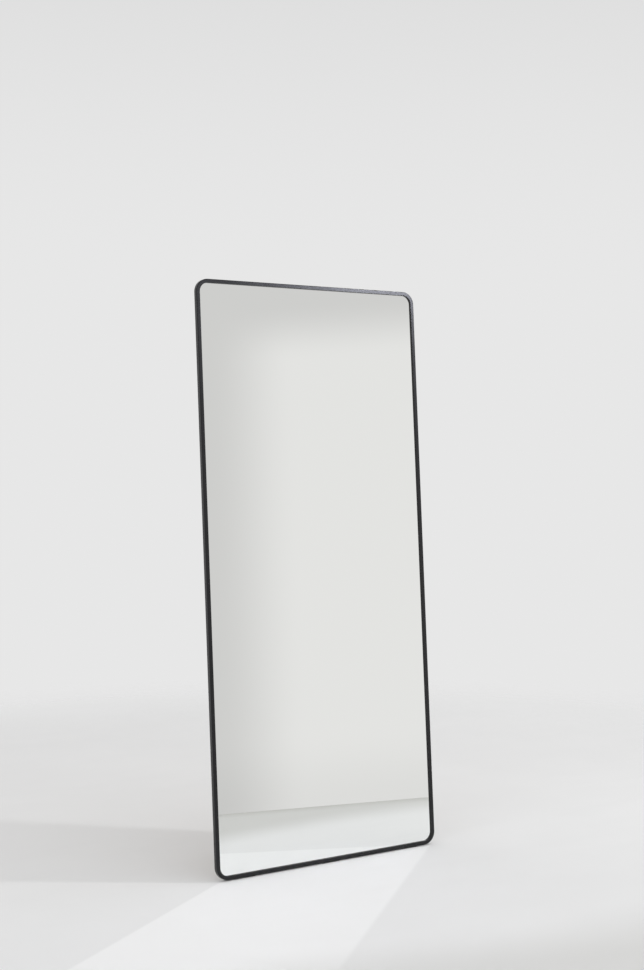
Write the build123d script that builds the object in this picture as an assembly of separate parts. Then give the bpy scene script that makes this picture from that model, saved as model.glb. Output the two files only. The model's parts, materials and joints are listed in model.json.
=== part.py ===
from build123d import *
import math
import os

# A full-length wall mirror in a slim bent frame, standing on its fold-out leg.
#
# Most pieces are drawn in the mirror's own frame: X runs across from the middle, Y is the depth
# behind the frame's front plane, and Z runs up the mirror from its lower edge. "stance" then leans
# the mirror back and sets it on the floor, at Z = 0. Sizes are in millimetres and angles in degrees.

# Mirror and stance
mirror_width = 800.0
mirror_height = 1800.0
frame_depth = 15.0
corner_radius = 40.0
lean_angle = 4.1
leg_angle = 4.5

# Frame profile, a channel that opens inwards behind a hollow front
face_width = 12.0
lip_depth = 4.4
front_wall = 1.3
outer_wall = 1.5
lip_wall = 1.2
rear_lip_thickness = 2.0
outer_edge_radius = 2.0
inner_edge_radius = 0.8
rear_edge_radius = 0.5
seam_gap = 0.1

# What the channel holds, from front to back
tape_thickness = 0.6
tape_margin = 0.5
glass_thickness = 4.0
glass_edge_gap = 1.0
glass_arris = 0.4
film_thickness = 0.2
film_margin = 4.0
foam_thickness = 0.8
foam_width = 25.0
foam_count = 4
foam_end_margin = 40.0
foam_side_margin = 100.0
setting_block_length = 80.0
setting_block_offset = 250.0

# Joints between the two frame halves
splice_length = 120.0
splice_clearance = 0.1
set_screw_radius = 1.5
set_screw_offset = 25.0
splice_plate_length = 70.0
splice_plate_thickness = 2.0
splice_plate_edge = 2.0
splice_plate_width = 9.0
splice_plate_corner = 2.25
splice_screw_radius = 1.5
splice_screw_offsets = (12.0, 26.0)

# Cross rails on the back
rail_thickness = 3.0
rail_height = 40.0
rail_end_inset = 2.0
rail_corner = 4.0
upper_rail_drop = 300.0
lower_rail_level = 320.0
rail_screw_radius = 2.0
rail_screw_inset = 7.0
rail_screw_offset = 12.0
strap_hole_radius = 2.75
strap_hole_spacing = 120.0

# Screws of every kind
hole_clearance = 0.1
head_ratio = 1.85
head_height_ratio = 1.1
head_edge_ratio = 0.55
drive_ratio = 0.9
drive_depth_share = 0.6

# Support leg
leg_tube_radius = 7.0
leg_tube_wall = 1.2
leg_half_width = 180.0
leg_bend_radius = 60.0
foot_wall = 2.5
foot_edge = 1.2
foot_length = 55.0
foot_offset = 85.0
foot_clearance = 0.1
heel_cap_start = 11.0
heel_cap_length = 8.0
heel_spigot_length = 6.0
heel_clearance = 0.1
stop_clearance = 0.02

# Hinge brackets and pins
bracket_thickness = 2.5
bracket_width = 60.0
bracket_height = 40.0
bracket_corner = 4.0
bracket_screw_radius = 2.5
bracket_screw_x = 22.0
bracket_screw_z = 12.0
pivot_gap = 2.0
ear_radius = 9.0
ear_root_half = 13.0
pin_radius = 3.0
pin_clearance = 0.05
leg_hole_clearance = 0.08
pin_head_radius = 5.5
pin_head_height = 1.8
pin_head_edge = 1.1
washer_thickness = 1.2
washer_radius = 6.5
washer_clearance = 0.1

# Bumpers under the folded leg
bumper_radius = 6.0
bumper_clearance = 0.3
bumper_edge = 1.5

# Hanger straps and rings
hanger_half_spacing = 320.0
ring_wire_radius = 1.5
ring_half_width = 11.0
ring_side_length = 5.0
ring_corner_radius = 3.0
ring_clearance = 0.08
strap_thickness = 1.2
strap_width = 15.0
strap_length = 32.0
strap_corner = 3.0
strap_pivot_offset = 14.0
hanger_screw_radius = 1.75
hanger_screw_offsets = (8.5, 24.0)
countersink_ratio = 1.9
countersink_depth = 1.0

# Wall spacers
wall_spacer_radius = 10.0
wall_spacer_spare = 3.0
wall_spacer_half_spacing = 320.0
wall_spacer_bore = 5.6
wall_spacer_floor = 5.0
wall_spacer_edge = 1.0
wall_screw_radius = 2.5

# Floor pads
pad_thickness = 1.5
pad_length = 60.0
pad_front = 2.5
pad_rear_inset = 1.0
pad_half_spacing = 300.0

# Sizes that follow from the ones above
tilt = math.radians(lean_angle)
glass_front = lip_depth + tape_thickness
glass_back = glass_front + glass_thickness
film_back = glass_back + film_thickness
foam_back = film_back + foam_thickness
rear_lip_front = frame_depth - rear_lip_thickness
pane_inset = outer_wall + glass_edge_gap
seam_level = mirror_height / 2
upper_rail_level = mirror_height - upper_rail_drop
rail_back = frame_depth + rail_thickness
bracket_back = rail_back + bracket_thickness
pivot_stand_off = leg_tube_radius + pivot_gap
pivot_depth = bracket_back + pivot_stand_off
foot_radius = leg_tube_radius + foot_clearance + foot_wall
ear_gap_half = leg_tube_radius + washer_thickness + washer_clearance
pin_end = ear_gap_half + bracket_thickness
ring_eye_radius = ring_wire_radius + ring_clearance + strap_thickness
ring_depth = rail_back + ring_eye_radius
ring_level = upper_rail_level + strap_pivot_offset
wall_plane = pivot_depth + foot_radius + wall_spacer_spare

stance = Pos(0, 0, pad_thickness + frame_depth * math.sin(tilt)) * Rot(-lean_angle, 0, 0)
leg_pivot = (stance * Pos(0, pivot_depth, upper_rail_level)).position
leg_length = (leg_pivot.Z - foot_radius) / math.cos(math.radians(leg_angle))


def outline(inset):
    """The mirror's rounded outline in its own plane, brought in all round by an inset."""
    return Pos(0, mirror_height / 2) * RectangleRounded(
        mirror_width - 2 * inset,
        mirror_height - 2 * inset,
        corner_radius - inset,
    )


def slab(shape, front, back):
    """A flat outline in the mirror's plane, made solid from one depth to another."""
    placed = Plane.XZ.offset(-front) * shape
    return extrude(placed, amount=back - front, dir=(0, 1, 0))


def ring(outer, inner, front, back):
    """A closed band round the mirror between two insets and two depths."""
    return slab(outline(outer) - outline(inner), front, back)


def rod(radius, front, back, x, z):
    """A round bar along the depth of the mirror."""
    return slab(Pos(x, z) * Circle(radius), front, back)


def cross_rod(radius, start, end):
    """A round bar along X, on the X axis."""
    return Pos(start, 0, 0) * extrude(Plane.YZ * Circle(radius), amount=end - start, dir=(1, 0, 0))


def drive_recess(radius, top, head_height, x, z):
    """The six-sided recess for a key in the head of a screw, open at the depth "top"."""
    shape = Pos(x, z) * RegularPolygon(drive_ratio * radius, 6)
    return slab(shape, top - drive_depth_share * head_height, top)


def rear_screw(radius, seat, tip, x, z):
    """A pan-head screw put in from the back: its head sits on the depth "seat", its end is at "tip"."""
    head_height = head_height_ratio * radius
    head = rod(head_ratio * radius, seat, seat + head_height, x, z)
    rim = head.faces().sort_by(Axis.Y)[-1].edges()
    head = fillet(rim, head_edge_ratio * radius)
    screw = head + rod(radius, tip, seat, x, z)
    return screw - drive_recess(radius, seat + head_height, head_height, x, z)


def grouped(shapes):
    """Several separate solids as one node."""
    return Compound(children=[solid for shape in shapes for solid in shape.solids()])


def frame_channel():
    """The whole bent channel, before it is cut into halves and drilled."""
    front = ring(0, face_width, 0, lip_depth)
    face = front.faces().sort_by(Axis.Y)[0]
    front = fillet(face.outer_wire().edges(), outer_edge_radius)
    face = front.faces().sort_by(Axis.Y)[0]
    front = fillet(face.inner_wires()[0].edges(), inner_edge_radius)
    front -= ring(outer_wall, face_width - lip_wall, front_wall, lip_depth - lip_wall)
    rear = ring(0, face_width, rear_lip_front, frame_depth)
    face = rear.faces().sort_by(Axis.Y)[-1]
    rear = fillet(face.outer_wire().edges(), rear_edge_radius)
    side = ring(0, outer_wall, lip_depth, rear_lip_front)
    return front + side + rear


def side_points(inset, offsets):
    """Points on both long sides, a given inset in and given distances above and below the seam."""
    points = []
    for x in (-mirror_width / 2 + inset, mirror_width / 2 - inset):
        for offset in offsets:
            points.append((x, seam_level - offset))
            points.append((x, seam_level + offset))
    return points


def rail_screw_points(level):
    """The screws that hold a cross rail to the frame's rear lip."""
    reach = mirror_width / 2 - rail_screw_inset
    return [
        (x, level + z)
        for x in (-reach, reach)
        for z in (-rail_screw_offset, rail_screw_offset)
    ]


set_screw_inset = (outer_wall + face_width - lip_wall) / 2
splice_screw_inset = splice_plate_edge + splice_plate_width / 2
set_screw_points = side_points(set_screw_inset, (set_screw_offset,))
splice_screw_points = side_points(splice_screw_inset, splice_screw_offsets)
rail_levels = (upper_rail_level, lower_rail_level)


def frame_halves():
    """The upper and lower U-shaped halves, drilled for the screws that they take."""
    channel = frame_channel()
    for x, z in set_screw_points:
        channel -= rod(set_screw_radius + hole_clearance, lip_depth - lip_wall, lip_depth, x, z)
    for x, z in splice_screw_points:
        channel -= rod(splice_screw_radius + hole_clearance, rear_lip_front, frame_depth, x, z)
    for level in rail_levels:
        for x, z in rail_screw_points(level):
            channel -= rod(rail_screw_radius + hole_clearance, rear_lip_front, frame_depth, x, z)
    half_height = mirror_height / 2 - seam_gap / 2
    window = Pos(0, mirror_height - half_height / 2) * Rectangle(mirror_width, half_height)
    upper = channel & slab(window, 0, frame_depth)
    window = Pos(0, half_height / 2) * Rectangle(mirror_width, half_height)
    lower = channel & slab(window, 0, frame_depth)
    return upper, lower


def splice_bars():
    """Flat bars in the frame's hollow front, half in each frame half."""
    width = face_width - lip_wall - outer_wall - 2 * splice_clearance
    bars = []
    for side in (-1, 1):
        middle = side * (mirror_width / 2 - set_screw_inset)
        shape = Pos(middle, seam_level) * Rectangle(width, splice_length)
        bars.append(
            slab(shape, front_wall + splice_clearance, lip_depth - lip_wall - splice_clearance)
        )
    return grouped(bars)


def set_screws():
    """Grub screws through the lip's rear wall, which press the splice bars forwards."""
    screws = [
        rod(set_screw_radius, lip_depth - lip_wall - splice_clearance, lip_depth, x, z)
        for x, z in set_screw_points
    ]
    return grouped(screws)


def splice_plates():
    """Plates on the rear lip that tie the two halves together."""
    plates = []
    for side in (-1, 1):
        middle = side * (mirror_width / 2 - splice_screw_inset)
        shape = Pos(middle, seam_level) * RectangleRounded(
            splice_plate_width, splice_plate_length, splice_plate_corner
        )
        plates.append(slab(shape, frame_depth, frame_depth + splice_plate_thickness))
    plates = grouped(plates)
    for x, z in splice_screw_points:
        plates -= rod(
            splice_screw_radius + hole_clearance,
            frame_depth,
            frame_depth + splice_plate_thickness,
            x,
            z,
        )
    return plates


def splice_screws():
    """Screws through the splice plates into the rear lip."""
    seat = frame_depth + splice_plate_thickness
    return grouped(
        [rear_screw(splice_screw_radius, seat, rear_lip_front, x, z) for x, z in splice_screw_points]
    )


def mirror_pane():
    """The silvered pane, with its edges ground off all round."""
    pane = slab(outline(pane_inset), glass_front, glass_back)
    rims = pane.faces().sort_by(Axis.Y)[0].edges() + pane.faces().sort_by(Axis.Y)[-1].edges()
    return chamfer(rims, glass_arris)


def foam_strips():
    """Upright strips between the film and the board."""
    reach = mirror_width / 2 - foam_side_margin
    length = mirror_height - 2 * foam_end_margin
    strips = []
    for number in range(foam_count):
        x = -reach + 2 * reach * number / (foam_count - 1)
        shape = Pos(x, mirror_height / 2) * Rectangle(foam_width, length)
        strips.append(slab(shape, film_back, foam_back))
    return grouped(strips)


def setting_blocks():
    """Blocks in the channel that the pane and the board stand on."""
    blocks = []
    for x in (-setting_block_offset, setting_block_offset):
        shape = Pos(x, (outer_wall + pane_inset) / 2) * Rectangle(
            setting_block_length, pane_inset - outer_wall
        )
        blocks.append(slab(shape, glass_front, rear_lip_front))
    return grouped(blocks)


def cross_rail(level):
    """A flat bar across the back, screwed to the rear lip at both ends."""
    shape = Pos(0, level) * RectangleRounded(
        mirror_width - 2 * rail_end_inset, rail_height, rail_corner
    )
    rail = slab(shape, frame_depth, rail_back)
    for x, z in rail_screw_points(level):
        rail -= rod(rail_screw_radius + hole_clearance, frame_depth, rail_back, x, z)
    return rail


def bracket_screw_points(side):
    """The screws of the hinge bracket on one side."""
    middle = side * leg_half_width
    return [
        (middle + x, upper_rail_level + z)
        for x in (-bracket_screw_x, bracket_screw_x)
        for z in (-bracket_screw_z, bracket_screw_z)
    ]


def hanger_screw_points(side):
    """The screws of the hanger strap on one side."""
    return [(side * hanger_half_spacing, ring_level - offset) for offset in hanger_screw_offsets]


def upper_cross_rail():
    """The rail that carries the hinge brackets, the hanger straps and two holes for a safety strap."""
    rail = cross_rail(upper_rail_level)
    for side in (-1, 1):
        for x, z in bracket_screw_points(side):
            rail -= rod(bracket_screw_radius + hole_clearance, frame_depth, rail_back, x, z)
        for x, z in hanger_screw_points(side):
            rail -= rod(hanger_screw_radius + hole_clearance, frame_depth, rail_back, x, z)
        x = side * strap_hole_spacing / 2
        rail -= rod(strap_hole_radius, frame_depth, rail_back, x, upper_rail_level)
    return rail


def lower_cross_rail():
    """The rail that carries the leg bumpers and the wall spacers."""
    rail = cross_rail(lower_rail_level)
    for side in (-1, 1):
        x = side * wall_spacer_half_spacing
        rail -= rod(
            wall_screw_radius + hole_clearance, frame_depth, rail_back, x, lower_rail_level
        )
    return rail


def rail_screws():
    """Screws through both rails into the rear lip."""
    return grouped(
        [
            rear_screw(rail_screw_radius, rail_back, rear_lip_front, x, z)
            for level in rail_levels
            for x, z in rail_screw_points(level)
        ]
    )


def hinge_bracket(side):
    """A steel plate with two ears, which holds one end of the leg on a pin."""
    middle = side * leg_half_width
    plate_shape = Pos(middle, upper_rail_level) * RectangleRounded(
        bracket_width, bracket_height, bracket_corner
    )
    bracket = slab(plate_shape, rail_back, bracket_back)
    for x, z in bracket_screw_points(side):
        bracket -= rod(bracket_screw_radius + hole_clearance, rail_back, bracket_back, x, z)
    root = Pos(bracket_back + pivot_stand_off / 4, upper_rail_level) * Rectangle(
        pivot_stand_off / 2, 2 * ear_root_half
    )
    head = Pos(pivot_depth, upper_rail_level) * Circle(ear_radius)
    ear_side = make_hull([*root.edges(), *head.edges()])
    for direction in (-1, 1):
        inner = middle + direction * ear_gap_half
        ear_face = Plane.YZ.offset(inner) * ear_side
        bracket += extrude(ear_face, amount=bracket_thickness, dir=(direction, 0, 0))
    hole = cross_rod(pin_radius + pin_clearance, -pin_end, pin_end)
    return bracket - Pos(middle, pivot_depth, upper_rail_level) * hole


def bracket_screws():
    """Screws through both brackets into the upper rail."""
    return grouped(
        [
            rear_screw(bracket_screw_radius, bracket_back, frame_depth, x, z)
            for side in (-1, 1)
            for x, z in bracket_screw_points(side)
        ]
    )


def hinge_pin(side):
    """A pin riveted over outside both ears."""
    shank = cross_rod(pin_radius, -pin_end, pin_end)
    for direction in (-1, 1):
        start = direction * pin_end
        head = cross_rod(pin_head_radius, start, start + direction * pin_head_height)
        rim = head.faces().sort_by(Axis.X)[-1 if direction > 0 else 0].edges()
        shank += fillet(rim, pin_head_edge)
    return Pos(side * leg_half_width, pivot_depth, upper_rail_level) * shank


def hinge_washers():
    """Nylon washers on the pins, between the leg and the ears."""
    washers = []
    for side in (-1, 1):
        for direction in (-1, 1):
            outer = direction * ear_gap_half
            inner = direction * (ear_gap_half - washer_thickness)
            washer = cross_rod(washer_radius, inner, outer)
            washer -= cross_rod(pin_radius + pin_clearance, inner, outer)
            washers.append(Pos(side * leg_half_width, pivot_depth, upper_rail_level) * washer)
    return grouped(washers)


def leg_path():
    """The centre line of the leg, hanging straight down from its hinge axis at the origin."""
    top = heel_cap_start
    return FilletPolyline(
        (-leg_half_width, 0, top),
        (-leg_half_width, 0, -leg_length),
        (leg_half_width, 0, -leg_length),
        (leg_half_width, 0, top),
        radius=leg_bend_radius,
    )


def support_leg():
    """One steel tube bent into a U, with a cross hole for a pin near each end."""
    path = leg_path()
    section = Circle(leg_tube_radius) - Circle(leg_tube_radius - leg_tube_wall)
    tube = sweep(Plane(origin=path @ 0, z_dir=path % 0) * section, path=path)
    for side in (-1, 1):
        hole = cross_rod(pin_radius + leg_hole_clearance, -leg_tube_radius, leg_tube_radius)
        tube -= Pos(side * leg_half_width, 0, 0) * hole
    return tube


def leg_feet():
    """Rubber sleeves on the leg's foot."""
    feet = []
    for side in (-1, 1):
        sleeve = cross_rod(foot_radius, -foot_length / 2, foot_length / 2)
        ends = sleeve.edges().filter_by(GeomType.CIRCLE)
        sleeve = fillet(ends, foot_edge)
        sleeve -= cross_rod(leg_tube_radius + foot_clearance, -foot_length / 2, foot_length / 2)
        feet.append(Pos(side * foot_offset, 0, -leg_length) * sleeve)
    return grouped(feet)


def heel_plugs():
    """Nylon plugs in the leg's upper ends, bevelled where they bear on the brackets."""
    plugs = []
    for side in (-1, 1):
        cap = Cylinder(leg_tube_radius, heel_cap_length, align=(Align.CENTER, Align.CENTER, Align.MIN))
        spigot_radius = leg_tube_radius - leg_tube_wall - heel_clearance
        spigot = Pos(0, 0, -heel_spigot_length) * Cylinder(
            spigot_radius, heel_spigot_length, align=(Align.CENTER, Align.CENTER, Align.MIN)
        )
        plugs.append(Pos(side * leg_half_width, 0, heel_cap_start) * (cap + spigot))
    return plugs


def open_leg(shape):
    """A piece of the leg, swung open and hung from its hinge axis."""
    return Pos(*leg_pivot) * Rot(leg_angle, 0, 0) * shape


def standing_heel_plugs():
    """The heel plugs where they stand, cut back to the face of the brackets."""
    keep_out = stance * slab(outline(0), 0, bracket_back + stop_clearance)
    return grouped([open_leg(plug) - keep_out for plug in heel_plugs()])


def leg_bumpers():
    """Rubber domes on the lower rail, which the folded leg lies on."""
    crown = pivot_depth - leg_tube_radius - bumper_clearance
    bumpers = []
    for side in (-1, 1):
        bumper = rod(bumper_radius, rail_back, crown, side * leg_half_width, lower_rail_level)
        rim = bumper.faces().sort_by(Axis.Y)[-1].edges()
        bumpers.append(fillet(rim, bumper_edge))
    return grouped(bumpers)


def hanger_strap(side):
    """A steel strap rolled round the straight side of its ring."""
    x = side * hanger_half_spacing
    eye_inner = ring_wire_radius + ring_clearance
    eye = cross_rod(ring_eye_radius, -strap_width / 2, strap_width / 2)
    eye = Pos(x, ring_depth, ring_level) * eye
    plate = slab(
        Pos(x, ring_level - strap_length / 2) * Rectangle(strap_width, strap_length),
        rail_back,
        rail_back + strap_thickness,
    )
    ends = plate.edges().filter_by(Axis.Y).sort_by(Axis.Z)[0:2]
    strap = eye + fillet(ends, strap_corner)
    strap -= Pos(x, ring_depth, ring_level) * cross_rod(eye_inner, -strap_width / 2, strap_width / 2)
    for px, pz in hanger_screw_points(side):
        strap -= countersunk(hanger_screw_radius + hole_clearance, px, pz, rail_back)
    return strap


def countersunk(radius, x, z, tip):
    """The room that a countersunk screw fills, down to a given depth, flush with the strap."""
    top = rail_back + strap_thickness
    head = Plane(origin=(x, top, z), x_dir=(1, 0, 0), z_dir=(0, -1, 0)) * Circle(
        countersink_ratio * radius
    )
    throat = Plane(origin=(x, top - countersink_depth, z), x_dir=(1, 0, 0), z_dir=(0, -1, 0))
    cone = loft([head, throat * Circle(radius)])
    return cone + rod(radius, tip, top - countersink_depth, x, z)


def hanger_screws():
    """Countersunk screws that hold the straps to the upper rail."""
    top = rail_back + strap_thickness
    screws = []
    for side in (-1, 1):
        for x, z in hanger_screw_points(side):
            screw = countersunk(hanger_screw_radius, x, z, frame_depth)
            screws.append(screw - drive_recess(hanger_screw_radius, top, countersink_depth, x, z))
    return grouped(screws)


def hanger_ring(side):
    """A D-shaped wire ring, hanging straight down from its strap."""
    bend = ring_corner_radius
    half = ring_half_width
    bottom = -ring_side_length
    path = FilletPolyline(
        (-half, 0, bottom), (-half, 0, 0), (half, 0, 0), (half, 0, bottom), radius=bend
    )
    arc = ThreePointArc((half, 0, bottom), (0, 0, bottom - half), (-half, 0, bottom))
    loop = Wire([*path.edges(), *arc.edges()])
    start = Plane(origin=loop @ 0, z_dir=loop % 0)
    wire = sweep(start * Circle(ring_wire_radius), path=loop)
    place = stance * Pos(side * hanger_half_spacing, ring_depth, ring_level)
    return Pos(*place.position) * wire


def wall_spacers():
    """Round spacers that keep the hung mirror parallel to the wall."""
    spacers = []
    for side in (-1, 1):
        x = side * wall_spacer_half_spacing
        spacer = rod(wall_spacer_radius, rail_back, wall_plane, x, lower_rail_level)
        rim = spacer.faces().sort_by(Axis.Y)[-1].edges()
        spacer = fillet(rim, wall_spacer_edge)
        spacer -= rod(
            wall_spacer_bore, rail_back + wall_spacer_floor, wall_plane, x, lower_rail_level
        )
        spacer -= rod(
            wall_screw_radius + hole_clearance, rail_back, wall_plane, x, lower_rail_level
        )
        spacers.append(spacer)
    return grouped(spacers)


def wall_spacer_screws():
    """Screws through the spacers into the lower rail."""
    seat = rail_back + wall_spacer_floor
    return grouped(
        [
            rear_screw(
                wall_screw_radius, seat, frame_depth, side * wall_spacer_half_spacing, lower_rail_level
            )
            for side in (-1, 1)
        ]
    )


def floor_pads():
    """Rubber pads under the frame, wedged by the lean so that they lie flat on the floor."""
    past_floor = 2 * stance.position.Z
    depth = frame_depth - pad_rear_inset - pad_front
    pads = []
    for x in (-pad_half_spacing, 0, pad_half_spacing):
        middle = Pos(x, pad_front + depth / 2, -past_floor / 2)
        block = stance * middle * Box(pad_length, depth, past_floor)
        pads.append(split(block, bisect_by=Plane.XY, keep=Keep.TOP))
    return grouped(pads)


upper_half, lower_half = frame_halves()
mirror_frame_nodes = {
    "frame_upper": upper_half,
    "frame_lower": lower_half,
    "splice_bars": splice_bars(),
    "splice_set_screws": set_screws(),
    "splice_plates": splice_plates(),
    "splice_plate_screws": splice_screws(),
    "glazing_tape": ring(
        outer_wall + tape_margin, face_width - tape_margin, lip_depth, glass_front
    ),
    "mirror_glass": mirror_pane(),
    "safety_film": slab(outline(pane_inset + film_margin), glass_back, film_back),
    "foam_strips": foam_strips(),
    "setting_blocks": setting_blocks(),
    "backing_board": slab(outline(pane_inset), foam_back, rear_lip_front),
    "upper_cross_rail": upper_cross_rail(),
    "lower_cross_rail": lower_cross_rail(),
    "rail_screws": rail_screws(),
    "hinge_bracket_left": hinge_bracket(-1),
    "hinge_bracket_right": hinge_bracket(1),
    "hinge_bracket_screws": bracket_screws(),
    "hinge_pin_left": hinge_pin(-1),
    "hinge_pin_right": hinge_pin(1),
    "hinge_washers": hinge_washers(),
    "leg_bumpers": leg_bumpers(),
    "hanger_strap_left": hanger_strap(-1),
    "hanger_strap_right": hanger_strap(1),
    "hanger_screws": hanger_screws(),
    "wall_spacers": wall_spacers(),
    "wall_spacer_screws": wall_spacer_screws(),
}
nodes = {name: stance * shape for name, shape in mirror_frame_nodes.items()}
nodes["floor_pads"] = floor_pads()
nodes["support_leg"] = open_leg(support_leg())
nodes["leg_feet"] = open_leg(leg_feet())
nodes["leg_heel_plugs"] = standing_heel_plugs()
nodes["hanger_ring_left"] = hanger_ring(-1)
nodes["hanger_ring_right"] = hanger_ring(1)

# The origin is on the floor, in the middle of the standing mirror's width and depth
boxes = [shape.bounding_box() for shape in nodes.values()]
middle_depth = (min(box.min.Y for box in boxes) + max(box.max.Y for box in boxes)) / 2

os.makedirs("parts", exist_ok=True)
for name, shape in nodes.items():
    export_step(Pos(0, -middle_depth, 0) * shape, f"parts/{name}.step")
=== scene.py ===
import json
import math

import bpy
from mathutils import Euler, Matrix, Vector

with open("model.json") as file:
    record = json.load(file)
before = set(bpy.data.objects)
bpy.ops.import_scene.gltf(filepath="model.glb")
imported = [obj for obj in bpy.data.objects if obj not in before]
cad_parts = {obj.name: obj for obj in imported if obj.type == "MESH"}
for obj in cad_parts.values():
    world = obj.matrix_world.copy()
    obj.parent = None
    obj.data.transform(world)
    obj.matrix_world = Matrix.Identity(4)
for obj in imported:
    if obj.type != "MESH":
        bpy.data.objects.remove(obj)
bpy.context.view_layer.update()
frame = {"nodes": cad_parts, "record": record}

# A full-length mirror in a slim black frame, on a pale floor.
# Places are in metres, in the frame's own axes: X across the mirror, Y towards its back, Z up from the floor.

# Camera, fitted to the frame's edges in the photograph
focal_length_px = 1444.9
image_height_px = 970.0
sensor_mm = 36.0
camera_place = Vector((-2.3914, -3.8901, 1.2980))
camera_heading = math.radians(32.094)
camera_pitch = math.radians(1.605)
camera_reach = 100.0

# The mirror's size and stance, and its glass as a plane
mirror_width = 0.8
mirror_height = 1.8
face_width = 0.012
glass_recess = 0.005
lean = math.radians(4.1)
front_bottom = Vector((0.0, -0.13172, 0.002572))
rear_normal = Vector((0.0, math.cos(lean), -math.sin(lean)))
glass_point = front_bottom + rear_normal * glass_recess
glass_half_width = mirror_width / 2 - face_width
glass_low = face_width
glass_high = mirror_height - face_width

# Floor
floor_radius = 3.6
floor_sides = 96
floor_fade_start = 2.1
floor_fade_end = 3.5
floor_colour = (0.83, 0.83, 0.83)
floor_roughness = 0.75
floor_specular = 0.15

# Lamps: the key gives the light and the shadow, the glint only a highlight on the frame
key_place = Vector((2.44, -1.69, 4.3))
key_target = Vector((-1.0, 0.8, 0.9))
key_size = 0.2
key_power = 37.0
glint_place = Vector((1.99, -2.24, 2.80))
glint_target = Vector((0.3, 0.0, 1.79))
glint_size = 0.25
glint_power = 72.0
glint_colour = (0.86, 0.88, 1.0)

# Backdrop: its light, and the greys that the camera and shiny surfaces see low and high in it
sky_level = 0.845
sky_white = (1.0, 1.0, 1.0, 1.0)
backdrop_low = (0.80, 0.80, 0.80)
backdrop_high = (0.30, 0.30, 0.30)
backdrop_rise = (0.1, 1.0)

# Studio wall that the mirror reflects, glowing with painted light and painted shade instead of being lit
wall_colour = (0.823, 0.812, 0.803)
wall_start = Vector((0.324, -1.522, 0.0))
wall_heading = math.radians(28.9)
wall_reach = 25.0
wall_height = 9.0

# Soft shade on the floor along the foot of that wall, a little deeper and wider where the mirror shows it
unshaded = (1.0, 1.0, 1.0)
shade_colour = (0.66, 0.655, 0.625)
shade_depth = 0.42
shade_extra_depth = 0.22
shade_extra_width = 0.16
shade_foot_width = 0.14
shade_foot_depth = 0.34


# Most of a noise's values lie between these
noise_low = 0.3
noise_high = 0.7


class Tree:
    """A material's or the world's node tree, with short ways to add and join nodes."""

    # Sockets of the colour form of the Mix node
    mix_share = 0
    mix_first = 6
    mix_second = 7
    mix_result = 2

    def __init__(self, owner):
        owner.use_nodes = True
        self.tree = owner.node_tree
        self.tree.nodes.clear()

    def add(self, kind, settings=None, **inputs):
        """Adds a node. Inputs are values or outputs, by the input's name or as in0, in1 and so on."""
        node = self.tree.nodes.new(kind)
        for name, value in (settings or {}).items():
            setattr(node, name, value)
        for name, value in inputs.items():
            number = name[2:] if name.startswith("in") and name[2:].isdigit() else None
            socket = node.inputs[int(number)] if number else node.inputs[name.replace("_", " ")]
            if isinstance(value, bpy.types.NodeSocket):
                self.tree.links.new(value, socket)
            else:
                socket.default_value = value
        return node

    def finish(self, kind, shader):
        """Joins the last shader to the tree's output."""
        output = self.add(kind)
        self.tree.links.new(shader, output.inputs["Surface"])

    def math(self, operation, *values):
        """The result of a sum on values or other nodes' outputs."""
        inputs = {f"in{i}": value for i, value in enumerate(values)}
        return self.add("ShaderNodeMath", {"operation": operation}, **inputs).outputs[0]

    def smooth(self, value, low, high, to_low=0.0, to_high=1.0):
        """A smooth step of a value from one level to another."""
        node = self.add(
            "ShaderNodeMapRange",
            {"interpolation_type": "SMOOTHSTEP"},
            Value=value, From_Min=low, From_Max=high, To_Min=to_low, To_Max=to_high,
        )
        return node.outputs["Result"]

    def spread(self, value, low, high, to_low, to_high):
        """A straight mapping of a value from one range to another."""
        node = self.add(
            "ShaderNodeMapRange",
            {"clamp": True},
            Value=value, From_Min=low, From_Max=high, To_Min=to_low, To_Max=to_high,
        )
        return node.outputs["Result"]

    def mix(self, share, first, second):
        """A colour between two colours, which are triples or other nodes' outputs."""
        node = self.tree.nodes.new("ShaderNodeMix")
        node.data_type = "RGBA"
        numbers = (self.mix_share, self.mix_first, self.mix_second)
        for number, value in zip(numbers, (share, first, second)):
            socket = node.inputs[number]
            if isinstance(value, bpy.types.NodeSocket):
                self.tree.links.new(value, socket)
            elif isinstance(value, tuple):
                socket.default_value = (*value, 1.0)
            else:
                socket.default_value = value
        return node.outputs[self.mix_result]

    def point(self):
        """The point on the piece, in metres."""
        return self.add("ShaderNodeTexCoord").outputs["Object"]

    def place(self, scale=(1.0, 1.0, 1.0)):
        """The point on the piece, in metres, stretched by a scale along each axis."""
        return self.add("ShaderNodeMapping", Vector=self.point(), Scale=scale).outputs["Vector"]

    def noise(self, where, scale, detail=3.0, roughness=0.55):
        """Soft noise with about so many waves to the metre."""
        node = self.add("ShaderNodeTexNoise", Vector=where, Scale=scale, Detail=detail, Roughness=roughness)
        return node.outputs["Fac"]


def new_material(name):
    material = bpy.data.materials.new(name)
    return material, Tree(material)


def scaled(colour, factor):
    return tuple(channel * factor for channel in colour)


def edge_share(tree, radius):
    """1 on sharp outer edges, 0 on flat stretches."""
    flat_dot = 0.985
    sharp_dot = 0.86
    normal = tree.add("ShaderNodeNewGeometry").outputs["Normal"]
    rounded = tree.add("ShaderNodeBevel", {"samples": 6}, Radius=radius).outputs["Normal"]
    dot = tree.add("ShaderNodeVectorMath", {"operation": "DOT_PRODUCT"}, in0=normal, in1=rounded)
    return tree.smooth(dot.outputs["Value"], flat_dot, sharp_dot)


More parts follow.
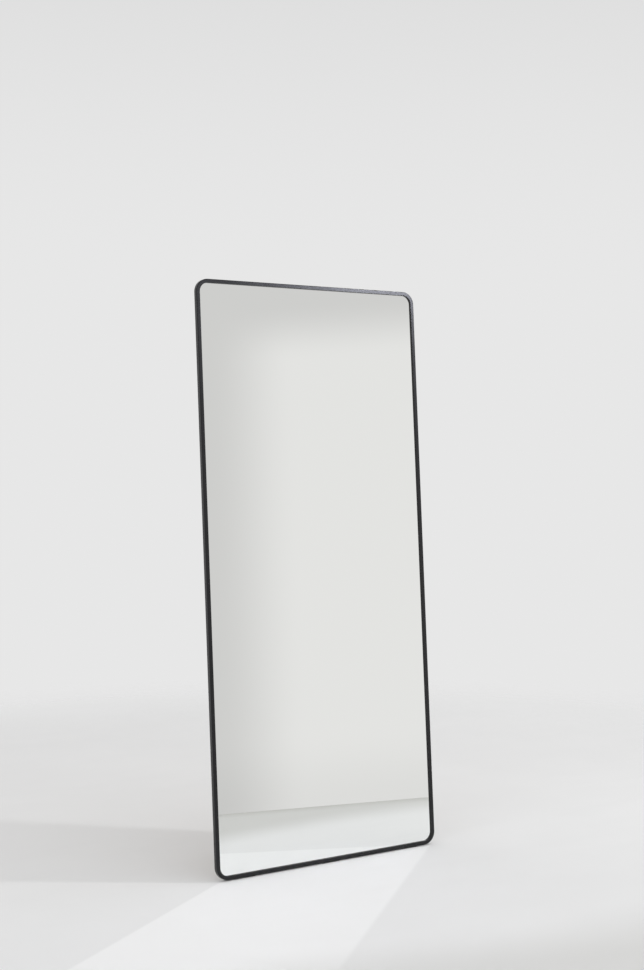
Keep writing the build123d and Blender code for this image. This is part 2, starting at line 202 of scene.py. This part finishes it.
def finish_material(tree, relief, relief_depth, **inputs):
    """The shader at the end of a material, with its fine relief."""
    bump = tree.add("ShaderNodeBump", Height=relief, Distance=relief_depth, Strength=1.0)
    shader = tree.add("ShaderNodeBsdfPrincipled", Normal=bump.outputs["Normal"], **inputs)
    tree.finish("ShaderNodeOutputMaterial", shader.outputs[0])
    return shader


def powder_coat(name, colour, grain_mm, roughness, specular):
    """Baked powder paint: a fine orange peel, slightly uneven gloss, and paler edges in patches that are
    partly rubbed wear and partly a painted highlight.
    """
    dark, light, speck_tone, wear_and_highlight_tone = (scaled(colour, factor) for factor in (0.88, 1.14, 2.0, 2.6))
    cloud_scale = 9.0
    speck_scale = 2600.0
    speck_share = 0.35
    wear_and_highlight_scale = 60.0
    wear_and_highlight_width = 0.0006
    wear_and_highlight_share = 0.5
    peel_depth = 0.00003
    material, tree = new_material(name)
    where = tree.place()
    peel = tree.noise(where, 1000.0 / grain_mm, 2.0)
    cloud = tree.noise(where, cloud_scale, 4.0)
    speck = tree.smooth(tree.noise(where, speck_scale, 1.0), 0.62, 0.8, 0.0, speck_share)
    wear_and_highlight_patches = tree.smooth(tree.noise(where, wear_and_highlight_scale), 0.42, 0.68)
    # Paler edges in patches: partly rubbed wear, partly a painted highlight along the sharp edges.
    wear_and_highlight = tree.math("MULTIPLY", edge_share(tree, wear_and_highlight_width), wear_and_highlight_patches)
    tone = tree.mix(cloud, dark, light)
    tone = tree.mix(speck, tone, speck_tone)
    tone = tree.mix(tree.math("MULTIPLY", wear_and_highlight, wear_and_highlight_share), tone, wear_and_highlight_tone)
    gloss = tree.spread(cloud, noise_low, noise_high, roughness - 0.03, roughness + 0.04)
    shader = finish_material(tree, peel, peel_depth, Base_Color=tone, Roughness=gloss)
    shader.inputs["Specular IOR Level"].default_value = specular
    return material


def zinc_plate():
    """Bright zinc on steel: fine crossed scratches and a faint warm and cool drift."""
    cool = (0.56, 0.58, 0.62)
    warm = (0.66, 0.64, 0.58)
    scratched = (0.80, 0.81, 0.82)
    level = (1.0, 1.0, 24.0)
    upright = (26.0, 1.0, 1.0)
    line_scale = 900.0
    cross_line_scale = 700.0
    scratch_share = 0.3
    scratch_depth = 0.00002
    polished = 0.26
    dull = 0.42
    cloud_scale = 45.0
    material, tree = new_material("zinc_steel")
    cloud = tree.noise(tree.place(), cloud_scale, 4.0)
    lines = tree.noise(tree.place(level), line_scale)
    cross_lines = tree.noise(tree.place(upright), cross_line_scale)
    scratch = tree.math("MAXIMUM", lines, cross_lines)
    tone = tree.mix(tree.smooth(cloud, 0.35, 0.65), cool, warm)
    tone = tree.mix(tree.smooth(scratch, 0.6, 0.78, 0.0, scratch_share), tone, scratched)
    gloss = tree.spread(cloud, noise_low, noise_high, polished, dull)
    finish_material(tree, scratch, scratch_depth, Base_Color=tone, Roughness=gloss, Metallic=1.0)
    return material


def mirror_silver():
    """The silvered pane: clear, with a breath of dust that only dulls it slightly."""
    clean = (0.935, 0.95, 0.94)
    dusty = (0.91, 0.925, 0.915)
    haze_scale = 6.0
    haze_roughness = 0.012
    dust_scale = 420.0
    dust_roughness = 0.03
    haze_depth = 0.000002
    material, tree = new_material("mirror")
    where = tree.place()
    haze = tree.noise(where, haze_scale, 5.0)
    dust = tree.smooth(tree.noise(where, dust_scale, 2.0), 0.70, 0.82)
    hazy = tree.spread(haze, 0.35, 0.7, 0.0, haze_roughness)
    gloss = tree.math("ADD", hazy, tree.math("MULTIPLY", dust, dust_roughness))
    tone = tree.mix(dust, clean, dusty)
    finish_material(tree, haze, haze_depth, Base_Color=tone, Roughness=gloss, Metallic=1.0)
    return material


def fibreboard():
    """Bare fibreboard: pressed fibres, fine specks and a slightly polished face."""
    dark = (0.29, 0.20, 0.128)
    light = (0.41, 0.30, 0.20)
    stain = (0.36, 0.265, 0.18)
    stain_share = 0.4
    cloud_scale = 7.0
    upright = (1.0, 1.0, 0.5)
    level = (0.45, 1.0, 1.0)
    fibre_scale = 480.0
    cross_fibre_scale = 300.0
    fibre_roughness = 0.7
    fibre_depth = 0.00008
    rough = 0.82
    pressed = 0.62
    material, tree = new_material("fibreboard")
    fibre = tree.noise(tree.place(upright), fibre_scale, 5.0, fibre_roughness)
    cross_fibre = tree.noise(tree.place(level), cross_fibre_scale, 5.0, fibre_roughness)
    cloud = tree.noise(tree.place(), cloud_scale, 5.0)
    fibres = tree.math("MULTIPLY", tree.math("ADD", fibre, cross_fibre), 0.5)
    tone = tree.mix(tree.smooth(fibres, 0.36, 0.64), dark, light)
    tone = tree.mix(tree.smooth(cloud, 0.3, 0.75, 0.0, stain_share), tone, stain)
    gloss = tree.spread(fibres, noise_low, noise_high, rough, pressed)
    finish_material(tree, fibres, fibre_depth, Base_Color=tone, Roughness=gloss)
    return material


def moulded(name, colour, grain_mm, low_roughness, high_roughness, relief_depth):
    """Rubber, foam or plastic out of a mould: a fine even grain with a little bloom, and a painted highlight
    along its sharp edges.
    """
    dark, light, edge_highlight_tone = (scaled(colour, factor) for factor in (0.85, 1.18, 1.7))
    cloud_scale = 30.0
    edge_highlight_width = 0.0008
    edge_highlight_strength = 0.35
    material, tree = new_material(name)
    where = tree.place()
    grain = tree.noise(where, 1000.0 / grain_mm, 2.0)
    cloud = tree.noise(where, cloud_scale, 4.0)
    tone = tree.mix(tree.smooth(cloud, noise_low, noise_high), dark, light)
    # Painted highlight: a paler tone along the sharp edges.
    tone = tree.mix(tree.math("MULTIPLY", edge_share(tree, edge_highlight_width), edge_highlight_strength), tone, edge_highlight_tone)
    gloss = tree.spread(grain, noise_low, noise_high, low_roughness, high_roughness)
    finish_material(tree, grain, relief_depth, Base_Color=tone, Roughness=gloss)
    return material


def woven_film():
    """The safety film behind the glass, a thin cross-woven sheet."""
    low_thread = (0.62, 0.64, 0.66)
    high_thread = (0.78, 0.80, 0.82)
    thread_scale = 160.0
    thread_depth = 0.00005
    film_roughness = 0.5
    material, tree = new_material("film")
    threads = [
        tree.add("ShaderNodeTexWave", {"bands_direction": axis}, Vector=tree.place(), Scale=thread_scale)
        for axis in "XZ"
    ]
    weave = tree.math("MULTIPLY", *(thread.outputs["Fac"] for thread in threads))
    tone = tree.mix(weave, low_thread, high_thread)
    finish_material(tree, weave, thread_depth, Base_Color=tone, Roughness=film_roughness)
    return material


def floor_material():
    """A pale painted floor with the mirror's thrown light and the wall's shade on it, clear at its rim."""
    dark, light, streaked = (scaled(floor_colour, factor) for factor in (0.985, 1.01, 0.98))
    uneven_scale = 1.1
    streak_scale = 2.6
    streak_stretch = (1.0, 3.0, 1.0)
    streak_share = 0.5
    material, tree = new_material("studio_floor")
    where = tree.point()
    x, y, _ = tree.add("ShaderNodeSeparateXYZ", Vector=where).outputs
    uneven = tree.noise(where, uneven_scale, 4.0)
    streaks = tree.noise(tree.place(streak_stretch), streak_scale)
    tone = tree.mix(tree.smooth(uneven, noise_low, noise_high), dark, light)
    tone = tree.mix(tree.smooth(streaks, 0.4, 0.8, 0.0, streak_share), tone, streaked)
    along, away = from_wall(tree, x, y)
    lit = tree.math("ADD", 1.0, thrown_light(tree, x, y))
    shade = tree.mix(wall_shade(tree, along, away), unshaded, shade_colour)
    tone = tree.add("ShaderNodeVectorMath", {"operation": "SCALE"}, in0=tone, Scale=lit).outputs[0]
    tone = tree.add("ShaderNodeVectorMath", {"operation": "MULTIPLY"}, in0=tone, in1=shade).outputs[0]
    distance = tree.add("ShaderNodeVectorMath", {"operation": "LENGTH"}, in0=where).outputs["Value"]
    surface = tree.add("ShaderNodeBsdfPrincipled", Base_Color=tone, Roughness=floor_roughness)
    surface.inputs["Specular IOR Level"].default_value = floor_specular
    clear = tree.add("ShaderNodeBsdfTransparent")
    share = tree.smooth(distance, floor_fade_start, floor_fade_end)
    faded = tree.add("ShaderNodeMixShader", in0=share, in1=surface.outputs[0], in2=clear.outputs[0])
    tree.finish("ShaderNodeOutputMaterial", faded.outputs[0])
    return material


def from_wall(tree, x, y):
    """A place's distance along the foot of the studio wall, and away from it towards the mirror."""
    east = tree.math("SUBTRACT", x, wall_start.x)
    north = tree.math("SUBTRACT", y, wall_start.y)
    along_north = tree.math("MULTIPLY", north, math.sin(wall_heading))
    away_north = tree.math("MULTIPLY", north, math.cos(wall_heading))
    along = tree.math("MULTIPLY_ADD", east, math.cos(wall_heading), along_north)
    away = tree.math("MULTIPLY_ADD", east, -math.sin(wall_heading), away_north)
    return along, away


def wall_shade(tree, along, away):
    """How far the floor is in the soft shade along the foot of the studio wall, from 0 to 1."""
    # The shade's width is a curve over the way along the wall, level beyond both ends
    curve_start = -0.45
    curve_end = 1.2
    width_at_zero = 0.55
    width_slope = -0.85
    width_bend = 0.35
    broad_edge = (0.25, -0.2)
    left_edge = (-1.2, -0.6)
    right_edge = (2.0, 1.2)
    rear_edge = (-1.2, -0.2)
    reach = tree.math("MINIMUM", tree.math("MAXIMUM", along, curve_start), curve_end)
    slope = tree.math("MULTIPLY_ADD", reach, width_bend, width_slope)
    width = tree.math("MULTIPLY_ADD", slope, reach, width_at_zero)
    mirrored = tree.add("ShaderNodeLightPath").outputs["Is Glossy Ray"]
    width = tree.math("MULTIPLY_ADD", mirrored, shade_extra_width, width)
    depth = tree.math("MULTIPLY_ADD", mirrored, shade_extra_depth, shade_depth)
    beyond = tree.math("SUBTRACT", away, width)
    broad = tree.math("MULTIPLY", tree.smooth(beyond, *broad_edge), depth)
    foot = tree.smooth(away, shade_foot_width, 0.0, 0.0, shade_foot_depth)
    span = tree.math("MULTIPLY", tree.smooth(along, *left_edge), tree.smooth(along, *right_edge))
    here = tree.math("MULTIPLY", tree.smooth(away, *rear_edge), span)
    return tree.math("MULTIPLY", tree.math("ADD", broad, foot), here)


def thrown_light(tree, x, y):
    """The light that the mirror throws on the floor: where the line to the lamp's image meets the glass."""
    soft = 0.01
    near_gain = 0.09
    far_gain = 0.05
    gain_shares = (0.5, 0.9)
    glass_shares = (1.0, 0.999)
    gap = (key_place - glass_point).dot(rear_normal)
    image = key_place - rear_normal * (2 * gap)
    start = (glass_point - image).dot(rear_normal)
    toward = tree.math("MULTIPLY_ADD", y, rear_normal.y, -image.dot(rear_normal))
    share = tree.math("DIVIDE", start, toward)
    cross_x = tree.math("MULTIPLY_ADD", tree.math("SUBTRACT", x, image.x), share, image.x)
    cross_z = tree.math("MULTIPLY_ADD", share, -image.z, image.z)
    left = tree.smooth(cross_x, -glass_half_width - soft, -glass_half_width + soft)
    right = tree.smooth(cross_x, glass_half_width + soft, glass_half_width - soft)
    low = tree.smooth(cross_z, glass_low - soft, glass_low + soft)
    high = tree.smooth(cross_z, glass_high + soft, glass_high - soft)
    in_front = tree.smooth(share, *glass_shares)
    inside = tree.math("MULTIPLY", tree.math("MULTIPLY", left, right), tree.math("MULTIPLY", low, high))
    gain = tree.smooth(share, *gain_shares, far_gain, near_gain)
    return tree.math("MULTIPLY", tree.math("MULTIPLY", inside, in_front), gain)


def wall_material():
    """The pale studio wall that the mirror reflects: it glows with painted light, and painted shade makes it
    a little darker at its top, left end and foot.
    """
    dim_share = 0.80
    foot_share = 0.93
    top_share = 0.35
    left_slant = -0.04
    left_fade = (0.01, 0.39)
    upper_fade = (2.08, 1.83)
    foot_fade = (0.0, 0.3)
    top_fade = (2.3, 5.0)
    material, tree = new_material("studio_wall")
    x, y, z = tree.add("ShaderNodeSeparateXYZ", Vector=tree.point()).outputs
    along, _ = from_wall(tree, x, y)
    # Painted shade: darker towards the left end and the top, and at the foot.
    slanted = tree.math("MULTIPLY_ADD", z, left_slant, along)
    lit = tree.math("MULTIPLY", tree.smooth(slanted, *left_fade), tree.smooth(z, *upper_fade))
    level = tree.math("MULTIPLY_ADD", lit, 1.0 - dim_share, dim_share)
    level = tree.math("MULTIPLY", level, tree.smooth(z, *foot_fade, foot_share, 1.0))
    level = tree.math("MULTIPLY", level, tree.smooth(z, *top_fade, 1.0, top_share))
    colour = tree.add("ShaderNodeVectorMath", {"operation": "SCALE"}, in0=wall_colour, Scale=level)
    # The wall glows instead of being lit: painted light.
    glow = tree.add("ShaderNodeEmission", Color=colour.outputs[0], Strength=1.0)
    tree.finish("ShaderNodeOutputMaterial", glow.outputs[0])
    return material


def make_world():
    """Even light from all round, and a pale backdrop where the camera or a shiny surface sees it."""
    world = bpy.data.worlds.new("studio")
    bpy.context.scene.world = world
    tree = Tree(world)
    direction = tree.add("ShaderNodeTexCoord").outputs["Generated"]
    height = tree.add("ShaderNodeSeparateXYZ", Vector=direction).outputs[2]
    backdrop = tree.mix(tree.smooth(height, *backdrop_rise), backdrop_low, backdrop_high)
    shown = tree.add("ShaderNodeBackground", Color=backdrop, Strength=1.0)
    light = tree.add("ShaderNodeBackground", Color=sky_white, Strength=sky_level)
    path = tree.add("ShaderNodeLightPath").outputs
    seen = tree.math("MAXIMUM", path["Is Camera Ray"], path["Is Glossy Ray"])
    seen = tree.math("MAXIMUM", seen, path["Is Transmission Ray"])
    both = tree.add("ShaderNodeMixShader", in0=seen, in1=light.outputs[0], in2=shown.outputs[0])
    tree.finish("ShaderNodeOutputWorld", both.outputs[0])


def add_object(name, data):
    """A new object in the scene, a mesh, a lamp or a camera."""
    item = bpy.data.objects.new(name, data)
    bpy.context.scene.collection.objects.link(item)
    return item


def mesh_piece(name, vertices, faces, material):
    mesh = bpy.data.meshes.new(name)
    mesh.from_pydata(vertices, [], faces)
    mesh.materials.append(material)
    return add_object(name, mesh)


def make_floor():
    """A round floor."""
    turns = [2 * math.pi * i / floor_sides for i in range(floor_sides)]
    rim = [(floor_radius * math.cos(turn), floor_radius * math.sin(turn), 0.0) for turn in turns]
    floor = mesh_piece("studio_floor", rim, [tuple(range(floor_sides))], floor_material())


def make_wall():
    """A wall in front of the mirror, off the camera's right side, which only shiny surfaces see."""
    reach = Vector((math.cos(wall_heading), math.sin(wall_heading), 0.0)) * wall_reach
    up = Vector((0.0, 0.0, wall_height))
    corners = [wall_start - reach, wall_start + reach, wall_start + reach + up, wall_start - reach + up]
    wall = mesh_piece("studio_wall", [tuple(corner) for corner in corners], [(0, 1, 2, 3)], wall_material())
    wall.visible_camera = False
    wall.visible_diffuse = False
    wall.visible_transmission = False
    wall.visible_shadow = False


def make_lamp(name, place, target, size, power):
    """A round lamp that faces its target."""
    lamp = bpy.data.lights.new(name, "AREA")
    lamp.shape = "DISK"
    lamp.size = size
    lamp.energy = power
    holder = add_object(name, lamp)
    holder.location = place
    holder.rotation_euler = (target - place).to_track_quat("-Z", "Y").to_euler()
    return holder


def make_lamps():
    """A key lamp at the right, which throws the shadow to the left, and a small one for the highlight."""
    key = make_lamp("key", key_place, key_target, key_size, key_power)
    key.visible_glossy = False
    glint = make_lamp("glint", glint_place, glint_target, glint_size, glint_power)
    glint.data.color = glint_colour
    glint.visible_diffuse = False
    glint.visible_camera = False


def make_camera():
    """The camera, level but for its pitch, with the photograph's angle of view."""
    data = bpy.data.cameras.new("camera")
    data.sensor_width = sensor_mm
    data.lens = focal_length_px / image_height_px * sensor_mm
    data.clip_end = camera_reach
    camera = add_object("camera", data)
    camera.location = camera_place
    camera.rotation_euler = Euler((math.pi / 2 - camera_pitch, 0.0, -camera_heading))
    bpy.context.scene.camera = camera


def make_finishes():
    """The finish for each material slot in the record."""
    frame_black = (0.0075, 0.0075, 0.009)
    steel_black = (0.014, 0.014, 0.015)
    foam_black = (0.028, 0.028, 0.028)
    rubber_black = (0.024, 0.024, 0.025)
    plastic_black = (0.03, 0.03, 0.032)
    nylon_white = (0.74, 0.72, 0.66)
    return {
        "frame_black": powder_coat("frame_black", frame_black, grain_mm=0.55, roughness=0.25, specular=0.34),
        "black_steel": powder_coat("black_steel", steel_black, grain_mm=0.8, roughness=0.42, specular=0.4),
        "zinc_steel": zinc_plate(),
        "mirror": mirror_silver(),
        "film": woven_film(),
        "black_foam": moulded("black_foam", foam_black, 0.5, 0.95, 0.8, relief_depth=0.0001),
        "rubber": moulded("rubber", rubber_black, 0.35, 0.72, 0.55, relief_depth=0.00004),
        "fibreboard": fibreboard(),
        "nylon": moulded("nylon", nylon_white, 0.5, 0.5, 0.38, relief_depth=0.00001),
        "black_plastic": moulded("black_plastic", plastic_black, 0.3, 0.55, 0.42, relief_depth=0.00003),
    }


def paint_nodes():
    """Gives each piece the finish of its slot in the record."""
    finishes = make_finishes()
    for part in frame["record"]["subparts"]:
        node = frame["nodes"][part["node"]]
        node.data.materials.clear()
        node.data.materials.append(finishes[part["material_slot"]])


bpy.context.scene.view_settings.view_transform = "Standard"
make_camera()
make_world()
make_floor()
make_wall()
make_lamps()
paint_nodes()
